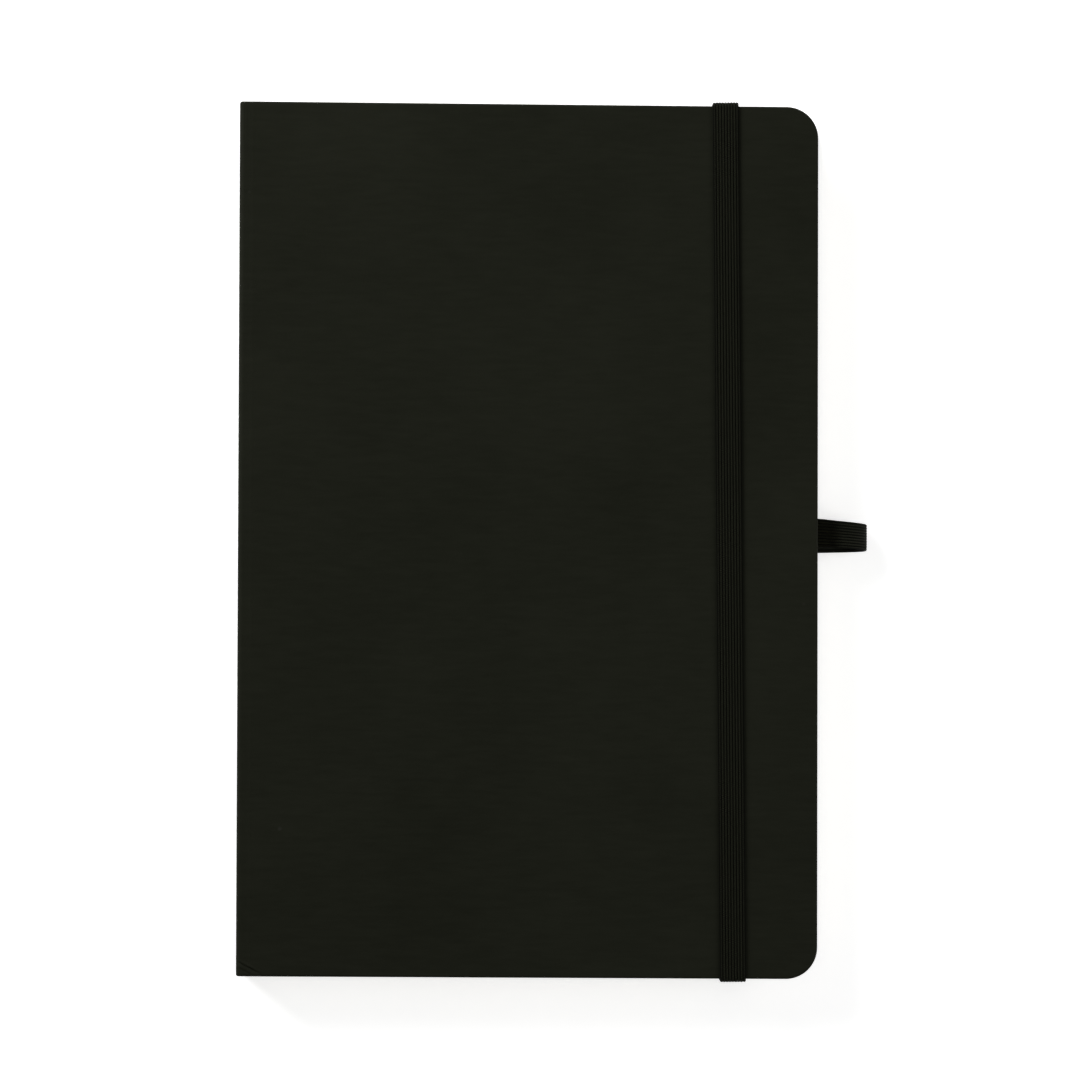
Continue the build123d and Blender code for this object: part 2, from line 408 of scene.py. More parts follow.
def boardMaterial():
    # grey board: mottled pulp with darker flecks
    look = greyBoard
    material, tree, shader = newMaterial("greyBoard", look)
    places = objectPlaces(tree)
    pulp = noise(tree, places, look["pulpPerMetre"], 5, 0.7)
    flecks = remap(tree, noise(tree, places, look["flecksPerMetre"], 2), 0.62, 0.7, 0, 0.6)
    base = mixColours(tree, pulp, look["light"], look["dark"])
    tree.links.new(mixColours(tree, flecks, base, look["fleck"]), shader.inputs["Base Color"])
    tree.links.new(bumpFrom(tree, pulp, look["depth"], 0.5), shader.inputs["Normal"])
    return material


brownKraft = {
    "roughness": 0.82,
    "specular": 0.25,
    "colour": (0.36, 0.24, 0.13),
    "light": (0.42, 0.285, 0.16),
    "dark": (0.28, 0.18, 0.095),
    "fibresPerMetre": 700,
    "depth": 0.00006,
}


def kraftMaterial():
    # brown kraft paper: long fibres along the spine
    look = brownKraft
    material, tree, shader = newMaterial("brownKraft", look)
    fibres = noise(tree, objectPlaces(tree), look["fibresPerMetre"], 4, 0.65, (1, 0.25, 1))
    tree.links.new(mixColours(tree, fibres, look["light"], look["dark"]), shader.inputs["Base Color"])
    tree.links.new(bumpFrom(tree, fibres, look["depth"], 0.4), shader.inputs["Normal"])
    return material


openWeave = {
    "roughness": 0.9,
    "specular": 0.2,
    "colour": (0.72, 0.70, 0.64),
    "thread": (0.74, 0.72, 0.66),
    "glue": (0.42, 0.37, 0.28),
    "threadTurns": 3300.0,
    "depth": 0.0001,
}


def mullMaterial():
    # open-weave cotton: two crossing sines, with the glue showing dark between the threads
    look = openWeave
    material, tree, shader = newMaterial("openWeaveMull", look)
    parts = addNode(tree, "ShaderNodeSeparateXYZ", {"Vector": objectPlaces(tree)})
    threads = [ripples(tree, parts.outputs[axis], look["threadTurns"]) for axis in ("Y", "Z")]
    cover = mathNode(tree, "MAXIMUM", *threads)
    base = mixColours(tree, remap(tree, cover, 0.6, 0.8, 0, 1), look["glue"], look["thread"])
    tree.links.new(base, shader.inputs["Base Color"])
    tree.links.new(bumpFrom(tree, cover, look["depth"], 0.8), shader.inputs["Normal"])
    return material


twistedThread = {
    "roughness": 0.7,
    "specular": 0.3,
    "colour": (0.80, 0.79, 0.76),
    "light": (0.84, 0.83, 0.80),
    # painted shade: the colour in the grooves between the plies
    "dark": (0.55, 0.54, 0.50),
    "plyTurns": 7000.0,
    "depth": 0.0001,
}


def threadMaterial():
    # twisted thread: slanting plies, with painted shade darkening the colour between them
    look = twistedThread
    material, tree, shader = newMaterial("sewingThread", look)
    parts = addNode(tree, "ShaderNodeSeparateXYZ", {"Vector": objectPlaces(tree)})
    slanted = mathNode(tree, "ADD", parts.outputs["Y"], parts.outputs["Z"])
    plies = ripples(tree, slanted, look["plyTurns"])
    # painted shade: the colour darkens between the plies
    tree.links.new(mixColours(tree, plies, look["dark"], look["light"]), shader.inputs["Base Color"])
    tree.links.new(bumpFrom(tree, plies, look["depth"], 0.8), shader.inputs["Normal"])
    return material


leatherFinish = leatherclothMaterial()
ruledFinish = paperMaterial("ruledPaper", paperLook["page"], True)
endpaperFinish = paperMaterial("endPaper", paperLook["endpaper"], False)
print("materials made")

# the CAD nodes that stay as they are get finishes of their own
for finish, members in (
    (boardMaterial(), ("front_board", "back_board", "spine_strip")),
    (kraftMaterial(), ("spine_liner",)),
    (mullMaterial(), ("mull",)),
    (threadMaterial(), ("sewing_thread",)),
):
    for member in members:
        mesh = frame["nodes"][member].data
        mesh.materials.clear()
        mesh.materials.append(finish)


# places that several pieces share
frontLow, frontHigh = boxMm("front_skin")
backLow, backHigh = boxMm("back_skin")
spineLow, spineHigh = boxMm("spine_skin")
joints = {joint["name"]: joint for joint in frame["joints"]}

left = spineLow[0]
right = frontHigh[0]
halfLength = frontHigh[1]
top = frontHigh[2]
bottom = backLow[2]
middle = (top + bottom) / 2
boardLeft = frontLow[0]
coverDepth = top - frontLow[2]


# the case is one sheet of skin, made as two halves that meet at the middle of the spine
case = {
    "skin": 0.5,
    "turnInSkin": 0.3,
    "turnIn": 14.0,
    "spineTurnIn": 1.0,
    "cornerRadius": 7.6,
    "edgeRound": 0.55,
    "innerRound": 0.35,
    "spineCorner": 1.2,
    "spineDepth": 2.05,
    "jointDepth": 1.05,
    "cornerTurnIn": 0.95,
    "fineZone": 8.0,
    "fineStep": 0.2,
    "wideStep": 2.4,
    "endShare": 0.955,
    "endRows": 24,
    "wideRows": 44,
    "reliefAtEdge": 0.9,
    "bendBelowHinge": 0.32,
    "bendBeforeBoard": 0.2,
    "backPattern": (300, 40, 0),
}


def caseColumns():
    # the line across the case, from the middle of the spine up, round its corner and over to the fore-edge:
    # place (x, z), normal (x, z), half length, outward direction of the end (x, y), depth of the wrapped edge
    v = case
    stripTop = spineHigh[2]
    cornerZ = top - v["spineCorner"]
    cornerX = left + v["spineCorner"]
    # the spine's side, closer together near its corner
    spineZ = np.concatenate([
        np.linspace(middle, stripTop - 1.5, 6),
        np.linspace(stripTop - 1.2, stripTop - 0.05, 5),
    ])
    turn = np.linspace(math.pi, math.pi / 2, 12)
    fineX = np.arange(cornerX + v["fineStep"], left + v["fineZone"], v["fineStep"])
    # two columns at the board's edge, where the wrapped edge gets deeper
    fineX = np.unique(np.round(np.concatenate([fineX, [boardLeft - 0.1, boardLeft]]), 4))
    arcX = right - v["cornerRadius"]
    steps = int((arcX - fineX[-1]) / v["wideStep"])
    wideX = np.linspace(fineX[-1], arcX, steps + 1)[1:]
    bend = np.linspace(0, math.pi / 2, 15)[1:]
    radius = v["cornerRadius"] - v["edgeRound"]
    endY = halfLength - v["edgeRound"]
    flat = np.concatenate([fineX, wideX])

    x = np.concatenate([np.full(spineZ.size, left), cornerX + v["spineCorner"] * np.cos(turn), flat,
                        arcX + radius * np.sin(bend)])
    z = np.concatenate([spineZ, cornerZ + v["spineCorner"] * np.sin(turn),
                        np.full(flat.size + bend.size, top)])
    normalX = np.concatenate([np.full(spineZ.size, -1.0), np.cos(turn), np.zeros(flat.size + bend.size)])
    normalZ = np.concatenate([np.zeros(spineZ.size), np.sin(turn), np.ones(flat.size + bend.size)])
    straight = spineZ.size + turn.size + flat.size
    half = np.concatenate([np.full(straight, endY), halfLength - v["cornerRadius"] + radius * np.cos(bend)])
    outX = np.concatenate([np.zeros(straight), np.sin(bend)])
    outY = np.concatenate([np.ones(straight), np.cos(bend)])
    depth = np.concatenate([
        np.full(spineZ.size, v["spineDepth"]),
        np.full(turn.size, v["jointDepth"]),
        np.where(flat < boardLeft - 0.05, v["jointDepth"], coverDepth),
        np.full(bend.size, coverDepth),
    ])
    return x, z, normalX, normalZ, half, outX, outY, depth


def caseRows():
    # shares of the half length, close together near the head and tail
    fine = np.linspace(1, case["endShare"], case["endRows"])
    wide = np.linspace(case["endShare"], 0, case["wideRows"])[1:]
    upper = np.concatenate([fine, wide])
    return np.concatenate([-upper[:-1], upper[::-1]])


def edgeProfile():
    # the section that is carried round the edge: outer rounding, side, inner rounding and turn-in.
    # For each layer: outward = a + b * turn-in width, down = c + d * depth of the edge
    v = case
    rows = []
    for angle in np.radians([18, 36, 54, 72, 90]):
        for layer, radius in ((0, v["edgeRound"]), (1, v["edgeRound"] - v["skin"])):
            rows.append((layer, radius * math.sin(angle), 0, v["edgeRound"] - radius * math.cos(angle), 0))
    for layer, inset in ((0, 0), (1, v["skin"])):
        half = (v["edgeRound"] - v["innerRound"]) / 2
        rows.append((layer, v["edgeRound"] - inset, 0, half, 0.5))
    centre = v["edgeRound"] - v["innerRound"]
    for angle in np.radians([0, 30, 60, 90]):
        inset = v["skin"] + (v["turnInSkin"] - v["skin"]) * angle / (math.pi / 2)
        for layer, radius in ((0, v["innerRound"]), (1, v["innerRound"] - inset)):
            across = centre + radius * math.cos(angle)
            rows.append((layer, across, 0, radius * math.sin(angle) - v["innerRound"], 1))
    for share in (0.06, 0.5, 1.0):
        for layer, inset in ((0, 0), (1, v["turnInSkin"])):
            rows.append((layer, centre * (1 - share), -share, -inset, 1))
    table = np.array(rows, float)
    return [table[table[:, 0] == layer][:, 1:] for layer in (0, 1)]


relief = {
    "jointDrop": 0.04,
    "jointEdge": 2.4,
    "jointSlope": 1.1,
    "shoulder": (0.012, 3.3, 0.3),
    "headRidges": ((0.07, 0.95, 0.16), (0.06, 1.6, 0.16)),
    "ridgeLength": 15.0,
    "ridgeFade": 9.0,
    "creaseDirection": (0.46, 0.888),
    "creaseFromTail": 3.7,
    "creaseFolds": ((-0.22, 0.0, 0.2), (0.15, 0.45, 0.26), (-0.12, -1.15, 0.2), (0.07, -0.8, 0.2)),
    "creaseReach": 7.5,
    "creaseFade": 3.5,
    "waveStart": 8.0,
    "frontWave": (0.022, 15.3, 0.6, 21.0, 0.4),
    "frontRipple": (0.012, 6.1, 11.3),
    "backWave": (0.018, 17.1, 1.7, 19.0, 2.1),
}


def jointRelief(fromSpine):
    # the joint lies a little low and rises to the board's shoulder, which is a very low ridge
    rise, place, width = relief["shoulder"]
    low = -relief["jointDrop"] * (1 - ease((fromSpine - relief["jointEdge"]) / relief["jointSlope"]))
    return low + rise * bump(fromSpine - place, width)


def ridges(distance, folds):
    # a sum of smooth bumps, each with its height, place and width
    return sum(height * bump(distance - place, width) for height, place, width in folds)


def slowWave(x, y, wave):
    # height times the sine of x over a length times the sine of y over another
    height, lengthX, startX, lengthY, startY = wave
    return height * np.sin(x / lengthX + startX) * np.sin(y / lengthY + startY)


def coverRelief(x, y, up):
    # how far the outer face stands off its plane: the joint, two fine ridges that run down from the head,
    # a diagonal crease across the tail corner, and a face that is very slightly wavy
    v = relief
    fromSpine = x - left
    nearHead = ease((y - halfLength + v["ridgeLength"]) / v["ridgeFade"])
    nearSpine = ease((v["creaseReach"] - fromSpine) / v["creaseFade"])
    headRidges = ridges(fromSpine, v["headRidges"]) * nearHead
    acrossCrease = (fromSpine * v["creaseDirection"][0]
                    + (y + halfLength - v["creaseFromTail"]) * v["creaseDirection"][1])
    crease = ridges(acrossCrease, v["creaseFolds"]) * nearSpine
    rippleHeight, rippleX, rippleY = v["frontRipple"]
    waves = slowWave(x, y, v["frontWave"]) + rippleHeight * np.sin(x / rippleX + y / rippleY)
    return (jointRelief(fromSpine) + headRidges + crease + waves * ease(fromSpine / v["waveStart"])) * up


def plainRelief(x, y, up):
    # the back: the same low joint and a slight waviness
    fromSpine = x - left
    waves = slowWave(x, y, relief["backWave"]) * ease(fromSpine / relief["waveStart"])
    return (jointRelief(fromSpine) + waves) * up


outOfSquare = {
    "headSpine": (0.14, 0.60),
    "headFore": (-0.22, -0.25),
    "tailSpine": (0.30, -0.32),
    "tailFore": (0.18, -0.38),
}


def notQuiteSquare(points):
    # moves the front cover's corners by a fraction of a millimetre, shared between them in proportion to
    # the distance, and not at all at the middle of the spine
    acrossShare = ((points[:, 0] - left) / (right - left))[:, None]
    alongShare = ((points[:, 1] + halfLength) / (2 * halfLength))[:, None]
    corner = {key: np.array(value) for key, value in outOfSquare.items()}
    head = corner["headSpine"] * (1 - acrossShare) + corner["headFore"] * acrossShare
    tail = corner["tailSpine"] * (1 - acrossShare) + corner["tailFore"] * acrossShare
    weight = ease((points[:, 2] - middle) / (top - coverDepth - middle))[:, None]
    moved = points.copy()
    moved[:, :2] += (head * alongShare + tail * (1 - alongShare)) * weight
    return moved


def halfCase(faceRelief):
    # the face is a grid of columns by rows; the edge profile is carried round its three free sides
    x, z, normalX, normalZ, half, outX, outY, depth = caseColumns()
    rows = caseRows()
    columnCount, rowCount = x.size, rows.size
    face = np.stack([
        np.repeat(x, rowCount),
        (half[:, None] * rows).ravel(),
        np.repeat(z, rowCount),
    ], axis=1)
    normals = np.stack([
        np.repeat(normalX, rowCount),
        np.zeros(len(face)),
        np.repeat(normalZ, rowCount),
    ], axis=1)
    lift = faceRelief(face[:, 0], face[:, 1], normals[:, 2])[:, None] * normals

    columns = np.arange(columnCount)
    inner = np.arange(rowCount - 2, 0, -1)
    lastColumn = columnCount - 1
    border = np.concatenate([columns * rowCount + rowCount - 1, lastColumn * rowCount + inner,
                             columns[::-1] * rowCount])
    owner = border // rowCount
    outward = np.stack([
        np.concatenate([outX, np.ones(inner.size), outX[::-1]]),
        np.concatenate([outY, np.zeros(inner.size), -outY[::-1]]),
        np.zeros(border.size),
    ], axis=1)
    fromArcX = right - case["cornerRadius"] - face[border, 0]
    fromArcY = halfLength - case["cornerRadius"] - np.abs(face[border, 1])
    fromArc = np.where(outward[:, 0] > 0.999, fromArcY, fromArcX)
    turnIn = np.minimum(case["turnIn"], case["cornerTurnIn"] * case["cornerRadius"] + np.maximum(fromArc, 0))
    turnIn = np.where(depth[owner] < coverDepth - 0.01, case["spineTurnIn"], turnIn)

    layers = []
    for layer, profile in enumerate(edgeProfile()):
        inset = case["skin"] * layer
        grid = face - normals * inset + lift
        across = profile[:, 0] + profile[:, 1] * turnIn[:, None]
        down = profile[:, 2] + profile[:, 3] * depth[owner][:, None]
        fade = np.linspace(case["reliefAtEdge"], 0, len(profile)) ** 2
        strip = (
            face[border][:, None, :]
            + outward[:, None, :] * across[:, :, None]
            - normals[border][:, None, :] * down[:, :, None]
            + lift[border][:, None, :] * fade[:, None]
        )
        layers.append(np.vstack([grid, strip.reshape(-1, 3)]))

    profileCount = len(edgeProfile()[0])
    stripNumbers = columnCount * rowCount + np.arange(border.size * profileCount)
    numbers = np.hstack([border[:, None], stripNumbers.reshape(border.size, profileCount)])
    stripQuads = np.stack([numbers[:-1, :-1], numbers[1:, :-1], numbers[1:, 1:], numbers[:-1, 1:]], axis=-1)
    quads = np.vstack([gridQuads(columnCount, rowCount), stripQuads.reshape(-1, 4)])
    return closeShell(layers[0], layers[1], quads)


frontPoints, frontQuads = halfCase(coverRelief)
frontPlaces = notQuiteSquare(frontPoints)
frontSkin = makePiece("frontCoverSkin", frontPlaces, frontQuads, frontPoints, leatherFinish)
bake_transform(frontSkin)
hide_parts("front_skin", "front_joint_skin", "spine_skin")

backPoints, backQuads = halfCase(plainRelief)
backPoints[:, 2] = top + bottom - backPoints[:, 2]
backLay = backPoints + case["backPattern"]
backSkin = makePiece("backCoverSkin", backPoints, backQuads[:, ::-1], backLay, leatherFinish)
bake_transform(backSkin)
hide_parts("back_skin", "back_joint_skin", "spine_skin")
print("case made:", len(frontQuads) + len(backQuads), "faces")


paper = {
    "leafCorner": 6.5,
    "leafThickness": 0.098,
    "leafPitch": 0.11,
    "leavesPerSection": 8,
    "trimShort": 0.06,
    "trimWander": 0.05,
    "foldLength": 3.6,
    "fineZone": 6.0,
    "fineStep": 0.36,
    "wideStep": 9.0,
}
leafRows = np.array([-1, -0.985, -0.9, -0.6, -0.2, 0.2, 0.6, 0.9, 0.985, 1.0])


def leafLine(leftX, rightX, halfY, z):
    # one leaf from the spine side to the fore-edge: place (x, z), and the half length, which follows the
    # round corner
    v = paper
    arcX = rightX - v["leafCorner"]
    fine = np.arange(leftX, leftX + v["fineZone"], v["fineStep"])
    steps = int((arcX - fine[-1]) / v["wideStep"])
    wide = np.linspace(fine[-1], arcX, steps + 1)[1:]
    bend = np.linspace(0, math.pi / 2, 10)[1:]
    x = np.concatenate([fine, wide, arcX + v["leafCorner"] * np.sin(bend)])
    half = np.concatenate([np.full(fine.size + wide.size, halfY),
                           halfY - v["leafCorner"] + v["leafCorner"] * np.cos(bend)])
    return np.stack([x, np.full(x.size, z)], axis=1), half


def sheetShell(line, half, thickness):
    # a line across the sheet, widened to its half length each way and given its thickness along its normals
    _, normals = pathFrames(line)
    layers = []
    for side in (0.5, -0.5):
        place = line + normals * thickness * side
        layers.append(np.stack([
            np.repeat(place[:, 0], leafRows.size),
            (half[:, None] * leafRows).ravel(),
            np.repeat(place[:, 1], leafRows.size),
        ], axis=1))
    return closeShell(layers[0], layers[1], gridQuads(len(line), leafRows.size))


def foldedSheet(leftX, rightX, halfY, lowZ, highZ):
    # two leaves joined by a half round fold at the spine
    radius = (highZ - lowZ) / 2
    lower, lowerHalf = leafLine(leftX + radius, rightX, halfY, lowZ)
    upper, upperHalf = leafLine(leftX + radius, rightX, halfY, highZ)
    angles = np.linspace(-math.pi / 2, -3 * math.pi / 2, 8)[1:-1]
    foldX = leftX + radius + radius * np.cos(angles)
    foldZ = (lowZ + highZ) / 2 + radius * np.sin(angles)
    fold = np.stack([foldX, foldZ], axis=1)
    line = np.vstack([lower[::-1], fold, upper])
    half = np.concatenate([lowerHalf[::-1], np.full(len(fold), halfY), upperHalf])
    return sheetShell(line, half, paper["leafThickness"])


def makeSection(name, node):
    # four sheets folded together make a section of eight leaves
    low, high = boxMm(node)
    sheets = paper["leavesPerSection"] // 2
    shells = []
    for nested in range(sheets):
        inside = paper["leafPitch"] * (nested + 0.5)
        foreEdge, headEdge = high[:2] - paper["trimShort"] + chance.uniform(-1, 1, 2) * paper["trimWander"]
        points, quads = foldedSheet(low[0] + inside, foreEdge, headEdge, low[2] + inside, high[2] - inside)
        shells.append((points, quads, points))
    points, quads, lay = joinShells(shells)
    return makePiece(name, points, quads, lay, ruledFinish)


sectionNodes = sorted(name for name in frame["nodes"] if name.startswith("section_"))
for node in sectionNodes:
    section = makeSection("pages" + node[-2:], node)
    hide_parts(node)
    if node == sectionNodes[0]:
        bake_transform(section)
    else:
        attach(section, "text_block")
print("sections made:", len(sectionNodes))


endpaper = {
    "hingeEdge": -66.9,
    "hingeLength": 0.8,
    "hingeShares": (0.15, 0.9),
    "hingePoints": 5,
    "gap": 0.1,
    "play": 0.01,
    "leafFold": 3.2,
}


def makeEndpaper(side):
    # the pasted half keeps a narrow hinge at the block; the free half lies flat, with its points closer
    # together over its first few millimetres
    pasteLow, pasteHigh = boxMm(side + "_pastedown")
    middleZ = (pasteLow[2] + pasteHigh[2]) / 2
    line, half = leafLine(endpaper["hingeEdge"], pasteHigh[0], pasteHigh[1], middleZ)
    shares = np.linspace(*endpaper["hingeShares"], endpaper["hingePoints"])
    hingeX = endpaper["hingeEdge"] + endpaper["hingeLength"] * shares
    hingeLine = np.stack([hingeX, np.full(hingeX.size, middleZ)], axis=1)
    beyond = line[:, 0] > hingeX[-1] + endpaper["gap"]
    line = np.vstack([line[:1], hingeLine, line[beyond]])
    half = np.concatenate([half[:hingeX.size + 1], half[beyond]])
    points, quads = sheetShell(line, half, pasteHigh[2] - pasteLow[2] - endpaper["play"])
    pasted = makePiece(side + "Pastedown", points, quads, points, endpaperFinish)
    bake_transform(pasted)
    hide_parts(side + "_pastedown")

    flyLow, flyHigh = boxMm(side + "_flyleaf")
    middleZ = (flyLow[2] + flyHigh[2]) / 2
    line, half = leafLine(flyLow[0], flyHigh[0], flyHigh[1], middleZ)
    points, quads = sheetShell(line, half, flyHigh[2] - flyLow[2] - endpaper["play"])
    free = makePiece(side + "Flyleaf", points, quads, points, endpaperFinish)
    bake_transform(free)
    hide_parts(side + "_flyleaf")


makeEndpaper("front")
makeEndpaper("back")
print("endpapers made")


weave = {
    "pointsPerRib": 8,
    "archPower": 0.6,
    "selvedgeThinning": 0.45,
    "selvedgePower": 14,
    "creaseAngle": 60,
}


def tapeSection(tape):
    # across from -1 to 1, and the share of the half thickness there: ribs are arches, and the two selvedges
    # are thinner
    ribs, depth = tape["ribs"], tape["ribDepth"]
    across = np.linspace(-1, 1, ribs * weave["pointsPerRib"] + 1)
    arch = np.abs(np.sin(math.pi * ribs * (across + 1) / 2)) ** weave["archPower"]
    thinning = 1 - weave["selvedgeThinning"] * np.abs(across) ** weave["selvedgePower"]
    return across, (1 - depth + depth * arch) * thinning


def tapeShell(centres, sides, normals, widths, thickness, section):
    # the section carried along the centres: centre plus side * half width * across, plus and minus
    # normal * half thickness * height; lay is the distance across and along
    across, height = section
    along = np.concatenate([[0], np.cumsum(np.linalg.norm(np.diff(centres, axis=0), axis=1))])
    layers = []
    for face in (0.5, -0.5):
        place = (
            centres[:, None, :]
            + sides[:, None, :] * (widths[:, None, None] / 2 * across[:, None])
            + normals[:, None, :] * (thickness * face * height[:, None])
        )
        layers.append(place.reshape(-1, 3))
    points, quads = closeShell(layers[0], layers[1], gridQuads(len(centres), across.size))
    flatAcross = np.broadcast_to((across + 1) / 2 * widths.mean(), (len(centres), across.size)).ravel()
    flatAlong = np.repeat(along, across.size)
    lay = np.stack([flatAcross, flatAlong, np.zeros(flatAlong.size)], axis=1)
    return points, quads, np.vstack([lay, lay])


band = {
    "width": 6.2,
    "thickness": 0.8,
    "clearance": 0.05,
    "ribs": 9,
    "ribDepth": 0.5,
    "keep": 0.135,
    "tailStandOff": 0.35,
    "longStep": 4.0,
    "ridge": (0.0119, 0.0129, 0.0074),
}
bandEnd = {
    "thickness": 0.62,
    "narrower": 0.12,
    "gluedDepth": 0.45,
    "stepFoot": (3.1, -0.4),
    "stepTop": (2.0, 0.36),
    "overlap": 0.15,
    "rounds": (1.2, 1.2, 0.6),
    "longStep": 1.5,
}
bandJoint = joints["band_release"]
bandAxis = np.array(bandJoint["axis"])
bandOrigin = np.array(bandJoint["pos_m"]) / metresPerMm
bandAcross = np.cross(bandAxis, [0, 0, 1])
bandFinish = elasticMaterial("bandElastic", band)
bandRibs = tapeSection(band)
bandFoot = boxMm("closure_band")[0][2]
bandOut = halfLength + band["clearance"] + band["thickness"] / 2


def inBandPlane(path, sign=1):
    # a flat path (distance along the band, height) set into the band's own slanting plane
    centres = bandOrigin * [1, 1, 0] + path[:, :1] * sign * bandAxis + path[:, 1:] * np.array([0, 0, 1.0])
    _, flatNormals = pathFrames(path)
    normals = flatNormals[:, :1] * sign * bandAxis + flatNormals[:, 1:] * np.array([0, 0, 1.0])
    return centres, normals


def makeBand():
    # down both ends and flat over the front, with small rounds at the cover's edges
    tailOut = -bandOut - band["tailStandOff"]
    overTop = top + band["clearance"] + band["thickness"] / 2
    radius = case["edgeRound"] + band["clearance"] + band["thickness"] / 2
    corners = [(bandOut, bandFoot), (bandOut, overTop), (tailOut, overTop), (tailOut, bandFoot)]
    path = roundedPath(corners, [radius, radius], band["longStep"])
    centres, normals = inBandPlane(path)
    sides = np.broadcast_to(bandAcross, centres.shape)
    widths = np.full(len(centres), band["width"])
    points, quads, lay = tapeShell(centres, sides, normals, widths, band["thickness"], bandRibs)
    piece = makePiece("closureBand", points, quads, lay, bandFinish, weave["creaseAngle"])
    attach(piece, "band")
    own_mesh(piece)
    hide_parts("closure_band")


def makeBandEnd(name, node, sign):
    # from under the pastedown, over the turned-in skin and round the back cover's edge into the band
    inner = backHigh[2]
    start = boxMm(node)[0 if sign > 0 else 1][1] * sign
    out = bandOut + (band["tailStandOff"] if sign < 0 else 0)
    footIn, footUp = bandEnd["stepFoot"]
    topIn, topUp = bandEnd["stepTop"]
    corners = [
        (start, inner - bandEnd["gluedDepth"]),
        (halfLength - footIn, inner + footUp),
        (halfLength - topIn, inner + topUp),
        (out, inner + topUp),
        (out, bandFoot + bandEnd["overlap"]),
    ]
    path = roundedPath(corners, bandEnd["rounds"], bandEnd["longStep"])
    centres, normals = inBandPlane(path, sign)
    sides = np.broadcast_to(bandAcross, centres.shape)
    widths = np.full(len(centres), band["width"] - bandEnd["narrower"])
    points, quads, lay = tapeShell(centres, sides, normals, widths, bandEnd["thickness"], bandRibs)
    piece = makePiece(name, points, quads, lay, bandFinish, weave["creaseAngle"])
    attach(piece, "back_cover")
    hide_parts(node)


makeBand()
makeBandEnd("bandEndHead", "band_end_head", 1)
makeBandEnd("bandEndTail", "band_end_tail", -1)
print("closure band made")


loop = {
    "width": 7.25,
    "tipNarrowing": 0.85,
    "thickness": 0.72,
    "ribs": 10,
    "ribDepth": 0.5,
    "upperMiddle": 2.2,
    "lowerMiddle": 0.9,
    "shiftFrom": 0.12,
    "shiftTo": 0.65,
    "proud": 0.3,
    "rootInset": 0.15,
    "stepTop": 2.0,
    "stepFoot": 3.2,
    "gluedLength": 6.0,
    "footDepth": 0.4,
    "gluedDepth": 0.45,
    "lowerDeeper": 0.1,
    "upperRounds": (1.0, 0.8, 0.9),
    "lowerRounds": (2.5, 0.8, 1.0),
    "longStep": 0.6,
    "bendFrom": -1.0,
    "bendTo": 1.6,
    "ridge": (0.0155, 0.0167, 0.0108),
}


def tangentMeets(root, centre, radius, level, sign):
    # where the line from root that touches the circle reaches a level: its slope is the angle to the centre
    # plus or minus the arcsine of the radius over the distance
    to = centre - root
    angle = math.atan2(to[1], to[0]) + sign * math.asin(radius / np.linalg.norm(to))
    return (root[0] + (level - root[1]) / math.tan(angle), level)


def gluedEnd(root, depthMore):
    # the corners of one end of the tape inside the cover, from its tip to the root
    inner = backHigh[2]
    return [
        (root[0] - loop["gluedLength"], inner - loop["gluedDepth"] - depthMore),
        (root[0] - loop["stepFoot"], inner - loop["footDepth"] - depthMore),
        (root[0] - loop["stepTop"], root[1]),
        root,
    ]


def makePenLoop():
    # the tape leaves the back cover, rises to the round of the loop, comes back under it and ends beside
    # itself: two tangents from the root to the loop's circle, and both ends laid flat inside the cover
    low, high = boxMm("pen_loop")
    radius = (high[2] - low[2]) / 2 - loop["thickness"] / 2
    outerX = high[0] + loop["proud"] - loop["thickness"] / 2
    centre = np.array([outerX - radius, (low[2] + high[2]) / 2])
    inner = backHigh[2]
    rootX = right - loop["rootInset"]
    upperRoot = np.array([rootX, inner + loop["thickness"] * 1.5])
    lowerRoot = np.array([rootX, inner + loop["thickness"] / 2])
    topZ, lowZ = centre[1] + radius, centre[1] - radius
    corners = [
        *gluedEnd(upperRoot, 0),
        tangentMeets(upperRoot, centre, radius, topZ, 1),
        (outerX, topZ),
        (outerX, lowZ),
        tangentMeets(lowerRoot, centre, radius, lowZ, -1),
        *reversed(gluedEnd(lowerRoot, loop["lowerDeeper"])),
    ]
    radii = [*loop["upperRounds"], *[radius] * 4, *loop["lowerRounds"]]
    path = roundedPath(corners, radii, loop["longStep"])
    along, flatNormals = pathFrames(path)
    share = along / along[-1]
    shift = ease((share - loop["shiftFrom"]) / (loop["shiftTo"] - loop["shiftFrom"]))
    middleY = loop["upperMiddle"] + (loop["lowerMiddle"] - loop["upperMiddle"]) * shift
    centres = np.stack([path[:, 0], middleY, path[:, 1]], axis=1)
    normals = np.stack([flatNormals[:, 0], np.zeros(share.size), flatNormals[:, 1]], axis=1)
    sides = np.broadcast_to([0.0, 1.0, 0.0], centres.shape)
    widths = loop["width"] - loop["tipNarrowing"] * np.sin(math.pi * share) ** 2
    points, quads, lay = tapeShell(centres, sides, normals, widths, loop["thickness"], tapeSection(loop))
    loopFinish = elasticMaterial("loopElastic", loop)
    piece = makePiece("penLoop", points, quads, lay, loopFinish, weave["creaseAngle"])
    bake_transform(piece)
    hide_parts("pen_loop", "pen_loop_tab")


makePenLoop()
print("pen loop made")


whiteFloor = {
    "size": 6.0,
    "drop": 0.0001,
    "colour": (0.90, 0.90, 0.90),
    "roughness": 0.9,
    "specular": 0.1,
    "glow": 0.62,
}


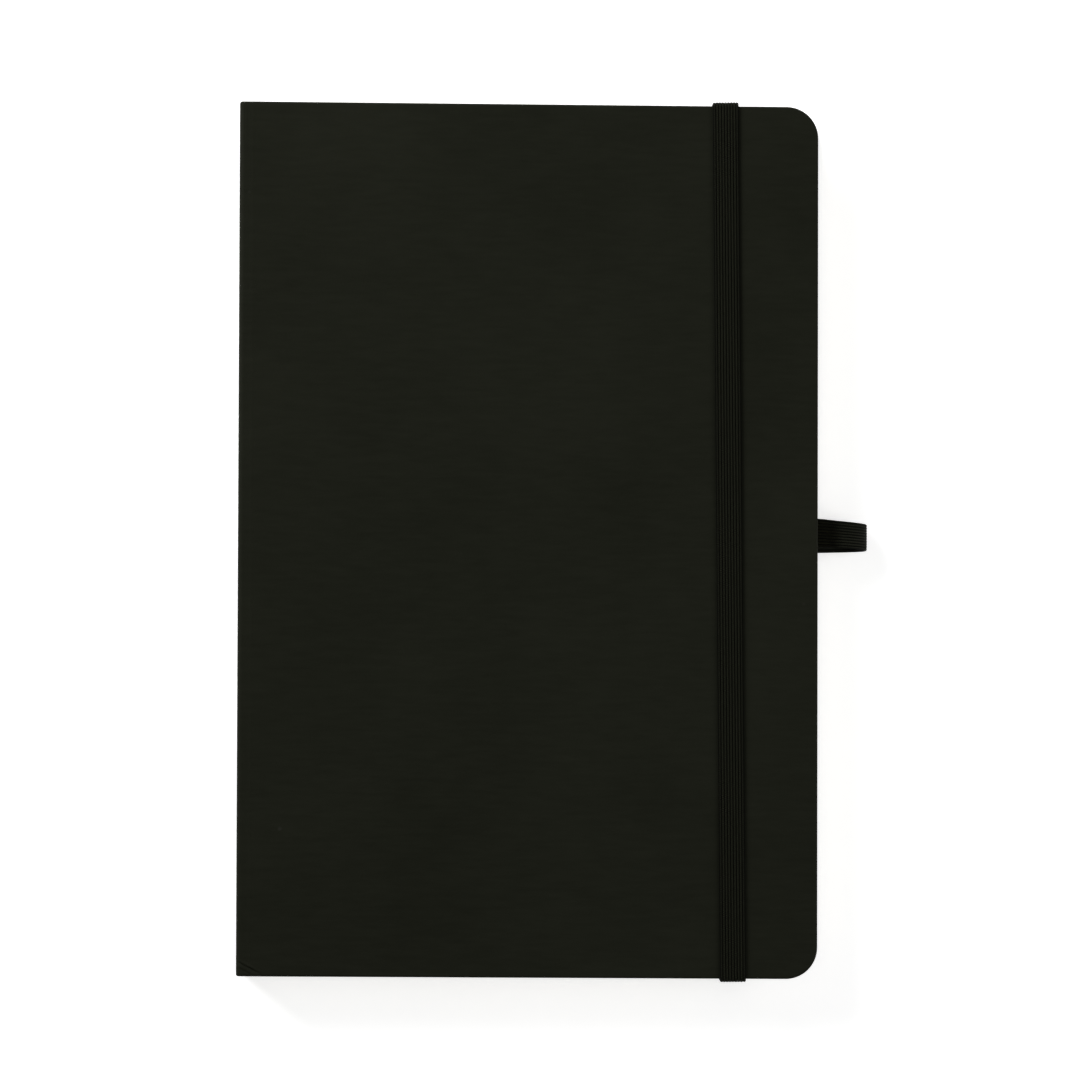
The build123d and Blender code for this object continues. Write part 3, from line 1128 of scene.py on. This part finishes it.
def makeFloor():
    # a level square just under the back cover
    half, z = whiteFloor["size"] / 2, -whiteFloor["drop"]
    mesh = bpy.data.meshes.new("floor")
    corners = [(-half, -half, z), (half, -half, z), (half, half, z), (-half, half, z)]
    mesh.from_pydata(corners, [], [(0, 1, 2, 3)])
    material, _, shader = newMaterial("paleFloor", whiteFloor)
    shader.inputs["Emission Color"].default_value = (1, 1, 1, 1)
    shader.inputs["Emission Strength"].default_value = whiteFloor["glow"]
    mesh.materials.append(material)
    floor = bpy.data.objects.new("floor", mesh)
    bpy.context.scene.collection.objects.link(floor)


softSky = {"horizonHeight": 0.05, "horizon": 0.50, "overheadHeight": 0.75, "overhead": 0.10}


def makeWorld():
    # light all round, bright at the horizon and dim overhead
    look = softSky
    world = bpy.data.worlds.new("softStudio")
    bpy.context.scene.world = world
    world.use_nodes = True
    tree = world.node_tree
    background = tree.nodes["Background"]
    direction = addNode(tree, "ShaderNodeTexCoord").outputs["Generated"]
    height = addNode(tree, "ShaderNodeSeparateXYZ", {"Vector": direction}).outputs["Z"]
    strength = remap(tree, height, look["horizonHeight"], look["overheadHeight"], look["horizon"],
                     look["overhead"])
    tree.links.new(strength, background.inputs["Strength"])
    background.inputs["Color"].default_value = (1, 1, 1, 1)


lamps = {
    "keyLight": {"place": (-0.55, 0.55, 0.5), "size": 0.5, "watts": 8},
    "fillLight": {"place": (0.95, -0.1, 0.75), "size": 0.8, "watts": 5},
}


def makeLamp(name, place, size, watts):
    # a soft square lamp aimed at the origin
    data = bpy.data.lights.new(name, "AREA")
    data.shape = "SQUARE"
    data.size = size
    data.energy = watts
    lamp = bpy.data.objects.new(name, data)
    lamp.location = place
    lamp.rotation_euler = (-Vector(place)).to_track_quat("-Z", "Y").to_euler()
    bpy.context.scene.collection.objects.link(lamp)


overhead = {
    "place": (0.00316, -0.02451, 1.2192),
    "tiltDegrees": 1.166,
    "turnDegrees": 0.25,
    "lens": 166.56,
    "sensorWidth": 36,
    "nearest": 0.01,
}


def makeCamera():
    # almost straight above, a long way off
    data = bpy.data.cameras.new("overheadCamera")
    data.sensor_width = overhead["sensorWidth"]
    data.lens = overhead["lens"]
    data.clip_start = overhead["nearest"]
    camera = bpy.data.objects.new("overheadCamera", data)
    camera.location = overhead["place"]
    camera.rotation_euler = (math.radians(overhead["tiltDegrees"]), 0, math.radians(overhead["turnDegrees"]))
    bpy.context.scene.collection.objects.link(camera)
    bpy.context.scene.camera = camera


makeFloor()
makeWorld()
for lampName, lampValues in lamps.items():
    makeLamp(lampName, **lampValues)
makeCamera()
bpy.context.scene.view_settings.view_transform = "Standard"
print("studio made")
